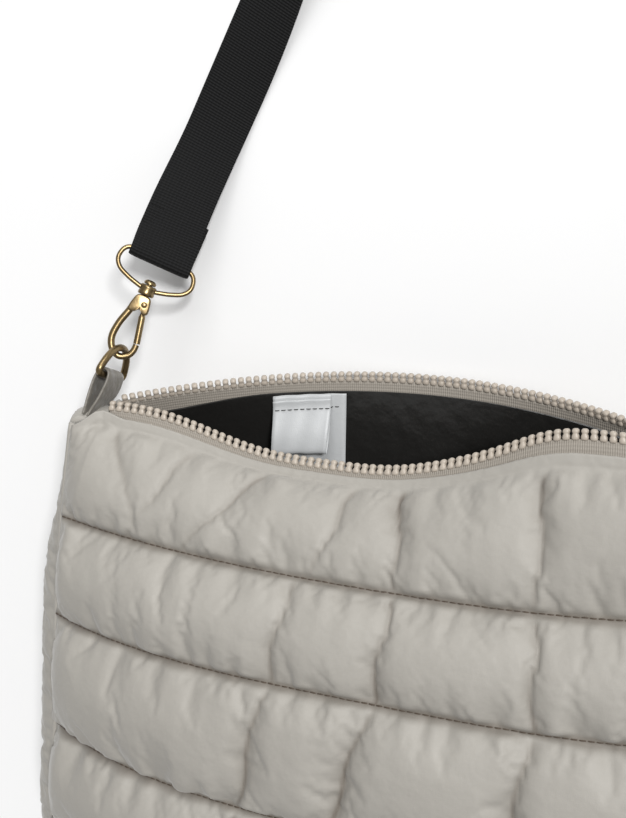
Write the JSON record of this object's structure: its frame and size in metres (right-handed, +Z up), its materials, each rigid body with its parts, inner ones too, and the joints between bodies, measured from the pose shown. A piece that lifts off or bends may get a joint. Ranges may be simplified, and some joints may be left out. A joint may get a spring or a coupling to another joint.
{
  "type": "padded crossbody bag",
  "caption": "Soft padded crossbody bag with quilted walls, an open zip mouth, dark lining and a webbing strap on swivel snap hooks, lying on its back.",
  "frame": {"origin": "middle of the back panel's face that the bag lies on", "axes": "+X across the bag, +Y from its bottom to its mouth, +Z up from the surface it lies on"},
  "size_m": [0.3978, 0.7282, 0.1206],
  "materials": {
    "shell": "satin",
    "lining": "satin",
    "tape": "matte",
    "label": "satin",
    "webbing": "matte",
    "brass": "antique",
    "tab": "satin"
  },
  "bodies": {
    "bag": {"front_panel": "shell", "back_panel": "shell", "gusset": "shell", "lining": "lining", "zip_front": "tape", "zip_back": "tape", "zip_slider": "brass", "care_label": "label", "fold_label": "label", "ring_tab_left": "tab", "ring_tab_right": "tab", "d_ring_left": "brass", "d_ring_right": "brass", "hook_bow_left": "brass", "hook_bow_right": "brass", "strap": "webbing"},
    "hook_left": {"hook_left": "brass"},
    "gate_left": {"gate_left": "brass"},
    "hook_right": {"hook_right": "brass"},
    "gate_right": {"gate_right": "brass"}
  },
  "joints": [
    {"name": "hook_left_swivel", "type": "hinge", "parent": "bag", "child": "hook_left", "pos_m": [-0.13005, 0.18529, 0.03221], "axis": [0.2811, 0.8672, -0.4111], "range_deg": [-60, 15]},
    {"name": "gate_left_hinge", "type": "hinge", "parent": "hook_left", "child": "gate_left", "pos_m": [-0.13071, 0.17875, 0.03449], "axis": [-0.4739, -0.2471, -0.8452], "range_deg": [0, 25], "stiffness_Nm_per_rad": 0.004, "springref_deg": -20.05},
    {"name": "hook_right_swivel", "type": "hinge", "parent": "bag", "child": "hook_right", "pos_m": [0.13005, 0.18529, 0.03221], "axis": [0.2811, -0.8672, 0.4111], "range_deg": [-60, 15]},
    {"name": "gate_right_hinge", "type": "hinge", "parent": "hook_right", "child": "gate_right", "pos_m": [0.13071, 0.17875, 0.03449], "axis": [-0.4739, 0.2471, 0.8452], "range_deg": [0, 25], "stiffness_Nm_per_rad": 0.004, "springref_deg": -20.05}
  ]
}
